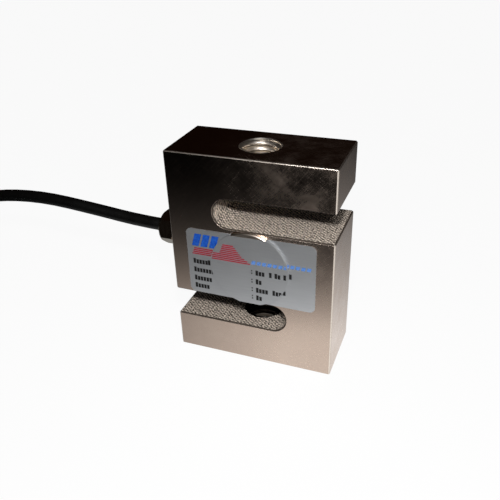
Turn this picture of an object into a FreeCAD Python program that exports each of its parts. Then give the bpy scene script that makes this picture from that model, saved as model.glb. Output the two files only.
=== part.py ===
"""S type load cell, 1 t class: spring element, sealed gauges, cable gland and signal cable.

Millimetres. The origin is the middle of the lower threaded hole's mouth, on the bottom face. X runs to the
right along the cell's width, Y to the back through its depth, and Z up along the line of the load.
"""
import FreeCAD, Part
import math
import os

import Sketcher
from FreeCAD import Placement, Rotation, Vector

DIMENSIONS = {
    # Spring element: two arms, a centre section and the two slots between them.
    "body_width": 50.8,
    "body_depth": 23.0,
    "arm_thickness": 13.0,
    "slot_height": 9.1,
    "centre_height": 24.4,
    "slot_past_axis": 11.0,
    "edge_chamfer": 0.4,
    # M12 threaded holes, at the thread's major radius.
    "thread_radius": 6.0,
    "thread_chamfer": 0.35,
    # Gauge pockets, the shear web between them and the hole for the rear gauge's wires.
    "pocket_radius": 10.0,
    "web_thickness": 3.5,
    "link_radius": 1.0,
    "link_across": 6.6,
    "link_up": 2.4,
    # Cable entry on the left face.
    "gland_level": 37.7,
    "gland_hole_radius": 4.0,
    "gland_hole_depth": 7.5,
    "passage_radius": 2.8,
    "passage_end": 6.0,
    # Pocket covers: a disc on the face with a spigot in the pocket.
    "cover_radius": 12.0,
    "cover_thickness": 1.0,
    "spigot_length": 1.6,
    "glue_gap": 0.05,
    "cover_chamfer": 0.25,
    # Foil label over the front cover.
    "label_width": 40.3,
    "label_height": 22.4,
    "label_level": 33.8,
    "label_corner": 1.8,
    "foil": 0.15,
    # Strain gauges: a backing, two grids of parallel lines and a row of solder tabs.
    "gauge_width": 8.0,
    "gauge_height": 6.4,
    "gauge_backing": 0.1,
    "gauge_foil": 0.05,
    "grid_length": 2.8,
    "grid_line": 0.16,
    "grid_pitch": 0.34,
    "grid_across": 1.9,
    "grid_down": 0.5,
    "gauge_tab_width": 1.3,
    "gauge_tab_height": 0.9,
    "gauge_tab_pitch": 2.4,
    "gauge_tab_up": 2.6,
    # Compensation resistors, below the front gauge.
    "resistor_length": 4.0,
    "resistor_width": 2.4,
    "resistor_thickness": 0.35,
    "resistor_across": 3.2,
    "resistor_down": 5.7,
    "resistor_tab_width": 0.8,
    "resistor_tab_height": 1.4,
    "resistor_tab_thickness": 0.06,
    # Terminal board above the front gauge, with a row of pads for the leads and one for the cores.
    "board_width": 10.4,
    "board_height": 3.4,
    "board_thickness": 0.8,
    "board_across": 0.4,
    "board_up": 6.1,
    "pad_thickness": 0.1,
    "lead_pad_width": 1.0,
    "lead_pad_height": 0.9,
    "lead_pad_pitch": 1.6,
    "lead_pad_up": 5.2,
    "core_pad_width": 1.6,
    "core_pad_height": 1.2,
    "core_pad_pitch": 2.4,
    "core_pad_up": 6.8,
    # Cable gland, measured outwards from the left face. Its hexagons are turned a little from level.
    "hex_across_flats": 10.0,
    "hex_turn": 15.0,
    "hex_bevel": 0.5,
    "gland_edge_break": 0.4,
    "flange_length": 3.2,
    "gland_thread_radius": 3.95,
    "gland_thread_length": 7.0,
    "gland_bore": 2.3,
    "stub_radius": 3.75,
    "stub_end": 7.0,
    "seat_radius": 3.2,
    "seat_start": 4.6,
    "seal_end": 7.5,
    "washer_end": 7.9,
    "nut_start": 3.4,
    "nut_hex_end": 7.2,
    "nut_cone_radius": 4.8,
    "nut_cone_end": 8.3,
    "nut_end": 9.3,
    "nut_mouth_radius": 3.3,
    "ring_groove": 0.7,
    # Cable, its coil and the stripped far end.
    "cable_radius": 2.1,
    "core_radius": 0.5,
    "conductor_radius": 0.25,
    "drain_radius": 0.35,
    "lead_radius": 0.12,
    "coil_across": -140.0,
    "coil_along": -17.0,
    "coil_outer": 28.7,
    "coil_inner": 15.7,
    "coil_height": 29.6,
    "coil_corner": 2.1,
    "tie_width": 3.6,
    "tie_thickness": 0.8,
    "tie_slack": 0.15,
    "tie_head_length": 4.6,
    "tie_head_width": 5.0,
    "tie_head_height": 3.2,
}

# How the sheet's cells combine, as expressions that several features share.
BODY_HEIGHT = "(2 * dims.arm_thickness + 2 * dims.slot_height + dims.centre_height)"
UPPER_ARM = f"({BODY_HEIGHT} - dims.arm_thickness)"
POCKET_LEVEL = f"({BODY_HEIGHT} / 2)"
POCKET_DEPTH = "((dims.body_depth - dims.web_thickness) / 2)"
HALF_WIDTH = "(dims.body_width / 2)"
HALF_DEPTH = "(dims.body_depth / 2)"

doc = FreeCAD.newDocument("s_type_load_cell")
sheet = doc.addObject("Spreadsheet::Sheet", "dims")
for row, (alias, value) in enumerate(DIMENSIONS.items(), start=1):
    sheet.set(f"A{row}", alias)
    sheet.set(f"B{row}", str(value))
    sheet.setAlias(f"B{row}", alias)
doc.recompute()

nodes = []


def size(alias):
    """A cell's value, for the few shapes that Part's own functions make."""
    return float(sheet.get(alias))


body_height = 2 * size("arm_thickness") + 2 * size("slot_height") + size("centre_height")
pocket_level = body_height / 2
web_face = size("web_thickness") / 2


def keep(item, label):
    """Counts a finished object as one physical piece of the load cell."""
    item.Label = label
    nodes.append(item)
    return item


# ---------------------------------------------------------------- sketches and features


def new_body(label):
    return keep(doc.addObject("PartDesign::Body", label), label)


def sketch_on(body, plane, name, offset=None):
    """A sketch on one of the body's origin planes, moved along the plane's normal by an expression."""
    sketch = body.newObject("Sketcher::SketchObject", name)
    support = next(item for item in body.Origin.OriginFeatures if item.Role == plane)
    sketch.AttachmentSupport = [(support, "")]
    sketch.MapMode = "FlatFace"
    if offset:
        sketch.setExpression("AttachmentOffset.Base.z", offset)
    return sketch


def bind(sketch, expression, kind, *places):
    """Adds a dimension to a sketch and ties its value to the sheet."""
    index = sketch.addConstraint(Sketcher.Constraint(kind, *places, 1.0))
    sketch.setExpression(f"Constraints[{index}]", expression)


def place_point(sketch, geometry, point, across, up):
    bind(sketch, across, "DistanceX", -1, 1, geometry, point)
    bind(sketch, up, "DistanceY", -1, 1, geometry, point)


def add_circle(sketch, radius, across="0", up="0"):
    circle = sketch.addGeometry(Part.Circle(Vector(0, 0, 0), Vector(0, 0, 1), 1.0))
    bind(sketch, radius, "Radius", circle)
    place_point(sketch, circle, 3, across, up)


def add_rectangle(sketch, left, right, low, high):
    corners = [Vector(0, 0), Vector(1, 0), Vector(1, 1), Vector(0, 1)]
    sides = [sketch.addGeometry(Part.LineSegment(a, b)) for a, b in zip(corners, corners[1:] + corners[:1])]
    for side, following in zip(sides, sides[1:] + sides[:1]):
        sketch.addConstraint(Sketcher.Constraint("Coincident", side, 2, following, 1))
    for side, direction in zip(sides, ("Horizontal", "Vertical") * 2):
        sketch.addConstraint(Sketcher.Constraint(direction, side))
    place_point(sketch, sides[0], 1, left, low)
    place_point(sketch, sides[2], 1, right, high)


def add_open_slot(sketch, mouth, end, low):
    """A slot that runs out past a face at mouth and ends in a half circle that reaches end."""
    leftwards = "-" in end
    side = -1 if leftwards else 1
    radius = "dims.slot_height / 2"
    first_angle, last_angle = (math.pi / 2, 3 * math.pi / 2) if leftwards else (-math.pi / 2, math.pi / 2)
    arc = sketch.addGeometry(
        Part.ArcOfCircle(Part.Circle(Vector(0, 0, 0), Vector(0, 0, 1), 1.0), first_angle, last_angle)
    )
    top_end, low_end = (1, 2) if leftwards else (2, 1)
    top = sketch.addGeometry(Part.LineSegment(Vector(0, 1), Vector(-side * 5, 1)))
    close = sketch.addGeometry(Part.LineSegment(Vector(-side * 5, 1), Vector(-side * 5, -1)))
    bottom = sketch.addGeometry(Part.LineSegment(Vector(-side * 5, -1), Vector(0, -1)))
    joins = ((arc, top_end, top, 1), (top, 2, close, 1), (close, 2, bottom, 1), (bottom, 2, arc, low_end))
    for join in joins:
        sketch.addConstraint(Sketcher.Constraint("Coincident", *join))
    sketch.addConstraint(Sketcher.Constraint("Horizontal", top))
    sketch.addConstraint(Sketcher.Constraint("Vertical", close))
    sketch.addConstraint(Sketcher.Constraint("Horizontal", bottom))
    for end_point in (top_end, low_end):
        sketch.addConstraint(Sketcher.Constraint("Vertical", arc, end_point, arc, 3))
    bind(sketch, radius, "Radius", arc)
    inwards = "+" if leftwards else "-"
    place_point(sketch, arc, 3, f"{end} {inwards} {radius}", f"{low} + {radius}")
    bind(sketch, mouth, "DistanceX", -1, 1, close, 1)


def pad(body, sketch, length, symmetric=False, backwards=False):
    feature = body.newObject("PartDesign::Pad", sketch.Name + "_pad")
    feature.Profile = sketch
    feature.setExpression("Length", length)
    feature.SideType = "Symmetric" if symmetric else "One side"
    feature.Reversed = backwards
    doc.recompute()
    return feature


def pocket(body, sketch, depth, symmetric=False, backwards=False):
    """Cuts the sketch into the body and makes sure that material came off."""
    before = body.Shape.Volume
    feature = body.newObject("PartDesign::Pocket", sketch.Name + "_pocket")
    feature.Profile = sketch
    feature.setExpression("Length", depth)
    feature.SideType = "Symmetric" if symmetric else "One side"
    feature.Reversed = backwards
    doc.recompute()
    if body.Shape.Volume > before - 0.01:
        raise RuntimeError(f"{feature.Name} cut nothing")
    return feature


def chamfer(body, width, name, wanted):
    """Breaks the edges of the body's tip that wanted(edge) picks."""
    tip = body.Tip
    picked = [f"Edge{i}" for i, edge in enumerate(tip.Shape.Edges, start=1) if wanted(edge)]
    feature = body.newObject("PartDesign::Chamfer", name)
    feature.Base = (tip, picked)
    feature.setExpression("Size", width)
    doc.recompute()
    return feature


def middle_of(edge):
    return edge.valueAt((edge.FirstParameter + edge.LastParameter) / 2)


def is_ring(edge, radius):
    return isinstance(edge.Curve, Part.Circle) and abs(edge.Curve.Radius - radius) < 0.01


# ---------------------------------------------------------------- spring element


def build_spring_element():
    """One milled block: the S, its threaded holes, gauge pockets, web and cable entry."""
    body = new_body("body")
    outline = sketch_on(body, "XZ_Plane", "outline")
    add_rectangle(outline, f"-{HALF_WIDTH}", HALF_WIDTH, "0", BODY_HEIGHT)
    pad(body, outline, "dims.body_depth", symmetric=True)

    # The upper slot is open to the right and the lower one to the left, which leaves the S.
    slots = {
        "upper_slot": (f"{HALF_WIDTH} + 2", "-dims.slot_past_axis", f"{UPPER_ARM} - dims.slot_height"),
        "lower_slot": (f"-{HALF_WIDTH} - 2", "dims.slot_past_axis", "dims.arm_thickness"),
    }
    for name, (mouth, end, low) in slots.items():
        slot = sketch_on(body, "XZ_Plane", name)
        add_open_slot(slot, mouth, end, low)
        pocket(body, slot, "dims.body_depth + 2", symmetric=True)

    half_width, half_depth = size("body_width") / 2, size("body_depth") / 2

    def outer_edge(edge):
        middle = middle_of(edge)
        on_side = abs(abs(middle.x) - half_width) < 0.01
        return abs(abs(middle.y) - half_depth) < 0.01 or (on_side and abs(middle.y) < 0.01)

    chamfer(body, "dims.edge_chamfer", "edge_break", outer_edge)

    for name, level in (("upper_thread", BODY_HEIGHT), ("lower_thread", "dims.arm_thickness")):
        hole = sketch_on(body, "XY_Plane", name, level)
        add_circle(hole, "dims.thread_radius")
        pocket(body, hole, "dims.arm_thickness")
    chamfer(body, "dims.thread_chamfer", "thread_lead_in", lambda edge: is_ring(edge, size("thread_radius")))

    for name, offset, backwards in (("front", HALF_DEPTH, False), ("rear", f"-{HALF_DEPTH}", True)):
        round_pocket = sketch_on(body, "XZ_Plane", f"{name}_gauge_pocket", offset)
        add_circle(round_pocket, "dims.pocket_radius", "0", POCKET_LEVEL)
        pocket(body, round_pocket, POCKET_DEPTH, backwards=backwards)
    link = sketch_on(body, "XZ_Plane", "link_hole")
    add_circle(link, "dims.link_radius", "dims.link_across", f"{POCKET_LEVEL} + dims.link_up")
    pocket(body, link, "dims.web_thickness + 2", symmetric=True)

    entry = sketch_on(body, "YZ_Plane", "gland_hole", f"-{HALF_WIDTH}")
    add_circle(entry, "dims.gland_hole_radius", "0", "dims.gland_level")
    pocket(body, entry, "dims.gland_hole_depth", backwards=True)
    passage = sketch_on(body, "YZ_Plane", "cable_passage", f"-{HALF_WIDTH}")
    add_circle(passage, "dims.passage_radius", "0", "dims.gland_level")
    pocket(body, passage, f"{HALF_WIDTH} - dims.passage_end", backwards=True)
    return body


# ---------------------------------------------------------------- covers and label


def build_cover(label, side):
    """A turned disc: its flange lies on the face and its spigot is glued into the pocket."""
    body = new_body(label)
    flange = sketch_on(body, "XZ_Plane", f"{label}_flange")
    add_circle(flange, "dims.cover_radius")
    pad(body, flange, "dims.cover_thickness")
    outer_face = -size("cover_thickness")

    def on_rim(edge):
        return abs(middle_of(edge).y - outer_face) < 0.01

    chamfer(body, "dims.cover_chamfer", f"{label}_rim", on_rim)
    spigot = sketch_on(body, "XZ_Plane", f"{label}_spigot")
    add_circle(spigot, "dims.pocket_radius - dims.glue_gap")
    pad(body, spigot, "dims.spigot_length", backwards=True)
    turn = 0 if side < 0 else 180
    body.Placement = Placement(Vector(0, 0, 0), Rotation(Vector(0, 0, 1), turn))
    body.setExpression("Placement.Base.y", f"{side} * {HALF_DEPTH}")
    body.setExpression("Placement.Base.z", POCKET_LEVEL)
    return body


def build_label():
    """Foil that lies on the face and is pressed up over the front cover's disc."""
    body = new_body("label")
    raised = "(dims.cover_thickness + dims.foil)"
    centre = f"({POCKET_LEVEL} - dims.label_level)"
    outline = sketch_on(body, "XZ_Plane", "label_outline")
    half_across, half_up = "dims.label_width / 2", "dims.label_height / 2"
    add_rectangle(outline, f"-{half_across}", half_across, f"-{half_up}", half_up)
    pad(body, outline, raised)
    tip = body.Tip
    upright = [
        f"Edge{i}" for i, edge in enumerate(tip.Shape.Edges, start=1)
        if abs(edge.Vertexes[0].Y - edge.Vertexes[-1].Y) > 0.1
    ]
    corner = body.newObject("PartDesign::Fillet", "label_corners")
    corner.Base = (tip, upright)
    corner.setExpression("Radius", "dims.label_corner")
    doc.recompute()

    lowered = sketch_on(body, "XZ_Plane", "label_round_the_disc", raised)
    add_rectangle(lowered, f"-{half_across} - 1", f"{half_across} + 1", f"-{half_up} - 2", f"{half_up} + 2")
    add_circle(lowered, "dims.cover_radius + dims.foil", "0", centre)
    pocket(body, lowered, "dims.cover_thickness")
    hollow = sketch_on(body, "XZ_Plane", "label_over_the_disc")
    add_circle(hollow, "dims.cover_radius", "0", centre)
    pocket(body, hollow, "dims.cover_thickness", backwards=True)
    body.setExpression("Placement.Base.y", f"-{HALF_DEPTH}")
    body.setExpression("Placement.Base.z", "dims.label_level")
    return body


# ---------------------------------------------------------------- gauges, resistors and board


def plate(name, width, height, thickness, across, up, out):
    """A small plate that stands up in the XZ plane: out is its back, measured towards the front."""
    item = doc.addObject("Part::Box", name)
    item.setExpression("Length", width)
    item.setExpression("Height", height)
    item.setExpression("Width", thickness)
    item.setExpression("Placement.Base.x", f"{across} - {width} / 2")
    item.setExpression("Placement.Base.y", f"-({out}) - ({thickness})")
    item.setExpression("Placement.Base.z", f"{up} - {height} / 2")
    return item


def fused(label, pieces):
    item = doc.addObject("Part::MultiFuse", label)
    item.Shapes = pieces
    item.Refine = True
    return keep(item, label)


def grid_line(name, across, up, angle):
    """One line of a gauge's grid, turned to the direction in which the web is stretched or squeezed."""
    line = doc.addObject("Part::Box", name)
    line.setExpression("Length", "dims.grid_length")
    line.setExpression("Width", "dims.gauge_foil")
    line.setExpression("Height", "dims.grid_line")
    turn = Rotation(Vector(0, 1, 0), -angle)
    corner = turn.multVec(Vector(-size("grid_length") / 2, 0, -size("grid_line") / 2))
    out = size("gauge_backing") + size("gauge_foil")
    line.Placement = Placement(Vector(across, -out, up) + corner, turn)
    return line


def build_gauge(label, turn):
    """A shear gauge: a backing, two grids at 45 degrees to the load and three solder tabs."""
    pieces = [plate(f"{label}_backing", "dims.gauge_width", "dims.gauge_height", "dims.gauge_backing",
                    "0", "0", "0")]
    for side in (-1, 1):
        angle = 45 * side
        normal = math.radians(angle + 90)
        for line in (-3, -2, -1, 0, 1, 2, 3):
            shift = line * size("grid_pitch")
            across = side * size("grid_across") + shift * math.cos(normal)
            up = shift * math.sin(normal) - size("grid_down")
            pieces.append(grid_line(f"{label}_grid", across, up, angle))
    for side in (-1, 0, 1):
        place = f"{side} * dims.gauge_tab_pitch"
        pieces.append(plate(f"{label}_tab", "dims.gauge_tab_width", "dims.gauge_tab_height",
                            "dims.gauge_foil", place, "dims.gauge_tab_up", "dims.gauge_backing"))
    gauge = fused(label, pieces)
    gauge.Placement = Placement(Vector(0, 0, 0), Rotation(Vector(0, 0, 1), turn))
    gauge.setExpression("Placement.Base.y", f"{'-' if turn == 0 else ''}dims.web_thickness / 2")
    gauge.setExpression("Placement.Base.z", POCKET_LEVEL)
    return gauge


def build_resistor(label, side):
    """A foil resistor with a solder tab at each end, in contact with the metal that it follows."""
    middle = f"{side} * dims.resistor_across"
    level = f"({POCKET_LEVEL} - dims.resistor_down)"
    web = "dims.web_thickness / 2"
    pieces = [plate(f"{label}_carrier", "dims.resistor_length", "dims.resistor_width",
                    "dims.resistor_thickness", middle, level, web)]
    for end in (-1, 1):
        place = f"({middle} + {end} * (dims.resistor_length - dims.resistor_tab_width) / 2)"
        pieces.append(plate(f"{label}_tab", "dims.resistor_tab_width", "dims.resistor_tab_height",
                            "dims.resistor_tab_thickness", place, level, f"{web} + dims.resistor_thickness"))
    return fused(label, pieces)


def pad_row(count, pitch):
    """How far across the pads of a row lie: evenly spaced about the board's middle."""
    return [size("board_across") + size(pitch) * (number - (count - 1) / 2) for number in range(count)]


LEAD_PADS = pad_row(6, "lead_pad_pitch")
CORE_PADS = pad_row(4, "core_pad_pitch")


def build_board():
    """A glass-fibre board with a row of pads for the gauges' leads and one for the cable's cores."""
    web = "dims.web_thickness / 2"
    level = f"({POCKET_LEVEL} + dims.board_up)"
    pieces = [plate("board_sheet", "dims.board_width", "dims.board_height", "dims.board_thickness",
                    "dims.board_across", level, web)]
    for row, places in (("lead", LEAD_PADS), ("core", CORE_PADS)):
        for across in places:
            pieces.append(plate(f"{row}_pad", f"dims.{row}_pad_width", f"dims.{row}_pad_height",
                                "dims.pad_thickness", str(across), f"({POCKET_LEVEL} + dims.{row}_pad_up)",
                                f"{web} + dims.board_thickness"))
    return fused("terminal_board", pieces)


# ---------------------------------------------------------------- wires and cable


def smooth_path(points):
    """Straight runs joined by tangent arcs, each arc as large as its two runs allow."""
    edges, radii = [], []
    start = points[0]
    for before, corner, after in zip(points, points[1:], points[2:]):
        back, ahead = before - corner, after - corner
        half_turn = (math.pi - back.getAngle(ahead)) / 2
        reach = 0.45 * min(back.Length, ahead.Length)
        radius = reach / math.tan(half_turn)
        back.normalize()
        ahead.normalize()
        inwards = (back + ahead).normalize()
        centre = corner + inwards * math.hypot(reach, radius)
        first, last = corner + back * reach, corner + ahead * reach
        edges.append(Part.LineSegment(start, first).toShape())
        edges.append(Part.Arc(first, centre - inwards * radius, last).toShape())
        radii.append(round(radius, 1))
        start = last
    edges.append(Part.LineSegment(start, points[-1]).toShape())
    return Part.Wire(edges), radii


def tube(points, radius):
    """A round solid along a smooth path, checked against its section times its length."""
    path, radii = smooth_path(points)
    direction = points[1] - points[0]
    section = Part.Wire([Part.Circle(points[0], direction, radius).toShape()])
    solid = path.makePipeShell([section], True, False)
    expected = math.pi * radius ** 2 * path.Length
    if abs(solid.Volume - expected) > 0.01 * expected:
        raise RuntimeError(f"tube of radius {radius}: volume {solid.Volume:.1f}, expected {expected:.1f}")
    return solid, path.Length, radii


def feature(label, shape):
    item = doc.addObject("Part::Feature", label)
    item.Shape = shape
    return keep(item, label)


def in_pocket(across, along, up):
    """A point given from the middle of the gauge pockets."""
    return Vector(across, along, pocket_level + up)


def build_gauge_leads():
    """Three enamelled wires from each gauge; the rear ones come through the link hole."""
    radius = size("lead_radius")
    tab_out = web_face + size("gauge_backing") + size("gauge_foil") + radius
    pad_out = web_face + size("board_thickness") + size("pad_thickness") + radius
    tabs = [side * size("gauge_tab_pitch") for side in (-1, 0, 1)]
    tab_up, pad_up, link_up = size("gauge_tab_up"), size("lead_pad_up"), size("link_up")
    front = []
    for tab, pad_across in zip(tabs, LEAD_PADS[:3]):
        points = [
            in_pocket(tab, -tab_out, tab_up - 0.1),
            in_pocket(tab, -tab_out - 0.25, tab_up + 0.8),
            in_pocket(pad_across, -pad_out - 0.35, pad_up - 1.0),
            in_pocket(pad_across, -pad_out, pad_up + 0.1),
        ]
        front.append(tube(points, radius)[0])
    rear = []
    for number, (tab, pad_across) in enumerate(zip(reversed(tabs), LEAD_PADS[3:])):
        through = size("link_across") + 0.4 * (number - 1)
        level = tab_up + 1.1 + 0.4 * number
        out = tab_out + 0.5
        points = [
            in_pocket(tab, tab_out, tab_up - 0.1),
            in_pocket(tab, out, level),
            in_pocket(through, out + 0.3, level),
            in_pocket(through, out, link_up),
            in_pocket(through, -pad_out - 0.4, link_up),
            in_pocket(pad_across, -pad_out, pad_up),
        ]
        rear.append(tube(points, radius)[0])
    leads = {"front_gauge_leads": front, "rear_gauge_leads": rear}
    return [feature(label, Part.makeCompound(wires)) for label, wires in leads.items()]


JACKET_END = -24.0
# For each core inside the cell: its place in the jacket (along, up), where it turns forwards, and its level
# on the way over the web to the board.
INNER_LAYS = {
    "red": (0.0, 1.0, -7.6, 4.9),
    "black": (-1.0, 0.0, -8.2, 3.6),
    "green": (1.0, 0.0, -6.9, 2.3),
    "white": (0.0, -1.0, -7.6, 1.0),
}


def build_inner_cores():
    """The four cores from the jacket's end through the passage to their pads on the board."""
    radius = size("core_radius")
    lift = size("gland_level") - pocket_level
    pad_out = web_face + size("board_thickness") + size("pad_thickness") + radius
    over = 4.2
    cores = []
    for (colour, (along, up, turn_at, level)), pad_across in zip(INNER_LAYS.items(), CORE_PADS):
        points = [
            in_pocket(JACKET_END, along, lift + up),
            in_pocket(turn_at, along, lift + up),
            in_pocket(turn_at, -over, level),
            in_pocket(pad_across, -over, level + 0.02),
            in_pocket(pad_across, -pad_out - 0.02, size("core_pad_up") - 0.2),
        ]
        cores.append(feature(f"inner_core_{colour}", tube(points, radius)[0]))
    return cores


def build_potting(label, side, pieces):
    """Silicone cast round everything in one pocket, up to the cover's spigot."""
    depth = size("body_depth") / 2 - size("spigot_length") - web_face
    start = Vector(0, side * web_face, pocket_level)
    shape = Part.makeCylinder(size("pocket_radius"), depth, start, Vector(0, side, 0))
    for piece in pieces:
        shape = shape.cut(piece.Shape)
    return feature(label, shape)


# ---------------------------------------------------------------- cable gland


def hexagon(name, start, end):
    """A hexagonal bar along the gland's axis, cut to size by its across-flats dimension."""
    item = doc.addObject("Part::Prism", name)
    item.Polygon = 6
    item.setExpression("Circumradius", "dims.hex_across_flats / 2 / cos(30 deg)")
    item.setExpression("Height", f"{end} - {start}")
    item.setExpression("Placement.Base.z", start)
    return item


def turned(profile):
    """A ring or bush turned to a profile of (radius, distance from the face) points."""
    corners = [Vector(radius, 0, height) for radius, height in profile]
    outline = Part.makePolygon(corners + corners[:1])
    return Part.Face(outline).revolve(Vector(0, 0, 0), Vector(0, 0, 1), 360)


def place_on_gland(item):
    """Turns a piece built along +Z to point out of the left face."""
    lean = Rotation(Vector(0, 1, 0), -90).multiply(Rotation(Vector(0, 0, 1), size("hex_turn")))
    item.Placement = Placement(Vector(0, 0, 0), lean)
    item.setExpression("Placement.Base.x", f"-{HALF_WIDTH}")
    item.setExpression("Placement.Base.z", "dims.gland_level")
    return item


def common_of(label, base, tool_shape):
    """Turns the corners and the bore of a hexagonal piece in one go."""
    tool = doc.addObject("Part::Feature", f"{label}_turning")
    tool.Shape = tool_shape
    item = doc.addObject("Part::Common", label)
    item.Base, item.Tool = base, tool
    return keep(item, label)


def build_gland():
    """Hexagonal body screwed into the face, face seal, cable seal, slip washer and clamping nut."""
    flange, thread, depth = size("flange_length"), size("gland_thread_radius"), size("gland_thread_length")
    bore, groove = size("gland_bore"), size("ring_groove")
    stub, stub_end = size("stub_radius"), size("stub_end")
    seat, seat_start = size("seat_radius"), size("seat_start")
    seal_end, washer_end = size("seal_end"), size("washer_end")
    corner = size("hex_across_flats") / 2 / math.cos(math.pi / 6)
    bevel, edge, play = size("hex_bevel"), size("gland_edge_break"), size("glue_gap")

    # Gland body: a hexagon whose corners are turned off, with a threaded stub on each side.
    bar = doc.addObject("Part::MultiFuse", "gland_body_blank")
    spindle = doc.addObject("Part::Feature", "gland_body_spindle")
    spindle.Shape = turned([(bore, -depth), (thread, -depth), (thread, edge), (stub, edge), (stub, stub_end),
                            (bore, stub_end)])
    bar.Shapes = [hexagon("gland_body_hexagon", "0", "dims.flange_length"), spindle]
    profile = [
        (bore, -depth), (thread - edge, -depth), (thread, edge - depth), (thread, groove),
        (thread + groove, groove), (thread + groove, 0), (corner - edge, 0), (corner, edge),
        (corner, flange - bevel), (corner - 1.7 * bevel, flange), (stub, flange), (stub, stub_end),
        (seat, stub_end), (seat, seat_start), (bore, seat_start),
    ]
    place_on_gland(common_of("gland_body", bar, turned(profile)))

    # Face seal: a rubber ring that fills its groove up to the face.
    ring = doc.addObject("Part::Torus", "gland_o_ring")
    ring.setExpression("Radius1", "dims.gland_thread_radius + dims.ring_groove / 2")
    ring.setExpression("Radius2", "dims.ring_groove / 2")
    keep(ring, "gland_o_ring")
    ring.Placement = Placement(Vector(0, 0, size("gland_level")), Rotation(Vector(0, 1, 0), -90))
    ring.setExpression("Placement.Base.x", f"-{HALF_WIDTH} - dims.ring_groove / 2")

    # Cable seal and slip washer.
    cable = size("cable_radius")
    seal = feature("gland_seal", turned([(cable, seat_start), (seat, seat_start), (seat, stub_end),
                                         (seat - edge, seal_end), (cable, seal_end)]))
    washer = feature("gland_washer", turned([(bore, seal_end), (seat, seal_end), (seat, washer_end),
                                             (bore, washer_end)]))

    # Nut: a hexagon that ends in a turned cone with a rounded mouth.
    start, hex_end, end = size("nut_start"), size("nut_hex_end"), size("nut_end")
    cone, cone_end, mouth = size("nut_cone_radius"), size("nut_cone_end"), size("nut_mouth_radius")
    nut_bar = hexagon("gland_nut_hexagon", "dims.nut_start", "dims.nut_end")
    profile = [
        (stub + play, start), (corner - edge, start), (corner, start + edge), (corner, hex_end),
        (cone, cone_end), (mouth + edge, end - edge), (mouth, end), (bore + play, end),
        (bore + play, washer_end), (seat + 2 * play, washer_end), (seat + 2 * play, stub_end + play),
        (stub + play, stub_end + play),
    ]
    nut = common_of("gland_nut", nut_bar, turned(profile))
    for item in (seal, washer, nut):
        place_on_gland(item)


# ---------------------------------------------------------------- free cable and coil

# The cable's centre line from the end of its jacket, through the gland, to the top turn of the coil.
CABLE_ROUTE = [
    (-24.0, 0.0, 37.7),
    (-41.0, 0.0, 37.7),
    (-60.0, -0.4, 40.0),
    (-82.0, -0.8, 42.0),
    (-104.0, 0.4, 39.0),
    (-120.0, 4.6, 32.0),
    (-134.0, 8.6, 28.4),
]
TAIL_START = (-134.0, -43.5, 2.3)
TAIL_END = (-118.0, -43.5, 2.3)
# For each core: its corner in the jacket (along, up) and how far it fans out along the floor.
FAN = {
    "red": (-0.75, -0.75, -2.2),
    "black": (-0.75, 0.75, -0.6),
    "green": (0.75, 0.75, 2.6),
    "white": (0.75, -0.75, 4.6),
}
FAN_REACH = 31.0
BARE_END = 5.0
# Each tie's place round the coil, in degrees.
TIES = {"coil_tie_near": 20, "coil_tie_far": 200}


def rounded_bar(radial_start, radial_end, low, high, corner, width):
    """A bar across the coil's section, rounded along its length, that a tie is made from."""
    start = Vector(radial_start, -width / 2, low)
    box = Part.makeBox(radial_end - radial_start, width, high - low, start)
    lengthwise = [edge for edge in box.Edges if abs(edge.Vertexes[0].Y - edge.Vertexes[-1].Y) > width / 2]
    return box.makeFillet(corner, lengthwise)


def build_coil():
    """The put-away turns as one ring with a rounded section, and the two nylon ties round it."""
    inner, outer = size("coil_inner"), size("coil_outer")
    thick, width, slack = size("tie_thickness"), size("tie_width"), size("tie_slack")
    low, corner = thick, size("coil_corner")
    high = low + size("coil_height")
    centre = Vector(size("coil_across"), size("coil_along"), 0)
    base = centre + Vector(0, 0, low)
    ring = Part.makeCylinder(outer, high - low, base).cut(Part.makeCylinder(inner, high - low, base))
    rims = [edge for edge in ring.Edges if isinstance(edge.Curve, Part.Circle)]
    coil = feature("cable_coil", ring.makeFillet(corner, rims))

    near, far = inner - slack, outer + slack / 3
    head = size("tie_head_length"), size("tie_head_width"), size("tie_head_height")
    for label, angle in TIES.items():
        outside = rounded_bar(near - thick, far + thick, low - thick, high + thick, corner + thick, width)
        inside = rounded_bar(near, far, low, high, corner, 2 * width)
        lock = Part.makeBox(*head, Vector((near + far) / 2, -head[1] / 2, high))
        tie = outside.cut(inside).fuse(lock).removeSplitter()
        tie.Placement = Placement(centre, Rotation(Vector(0, 0, 1), angle))
        feature(label, tie)
    return coil


def free_wire(label, points, radius):
    """A wire that lies on the floor, with the radii of its bends printed."""
    solid, _, radii = tube(points, radius)
    print(f"{label}: bend radii", radii)
    return solid


def build_far_end(end):
    """The stripped cores, each with a bare conductor, and the braid twisted into a drain wire."""
    core, conductor, drain = size("core_radius"), size("conductor_radius"), size("drain_radius")
    lowest = core + 0.05
    for colour, (along, up, spread) in FAN.items():
        seat = end + Vector(0, along, up)
        tip = Vector(end.x + FAN_REACH, end.y + spread, lowest)
        sinking = Vector(end.x + FAN_REACH * 0.65, end.y + spread * 0.7, lowest + (seat.z - lowest) * 0.3)
        points = [seat, seat + Vector(FAN_REACH / 4, 0, 0), sinking, tip]
        sleeve = free_wire(f"core_{colour}", points, core)
        bare = Part.makeCylinder(conductor, BARE_END, tip, Vector(1, 0, 0))
        feature(f"core_{colour}", sleeve.fuse(bare))
    points = [
        end,
        end + Vector(FAN_REACH / 4, 0, 0),
        end + Vector(FAN_REACH / 2, 0.5, -0.7),
        Vector(end.x + FAN_REACH - 3, end.y + 1.0, drain + 0.05),
    ]
    feature("shield_drain", free_wire("shield_drain", points, drain))


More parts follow.
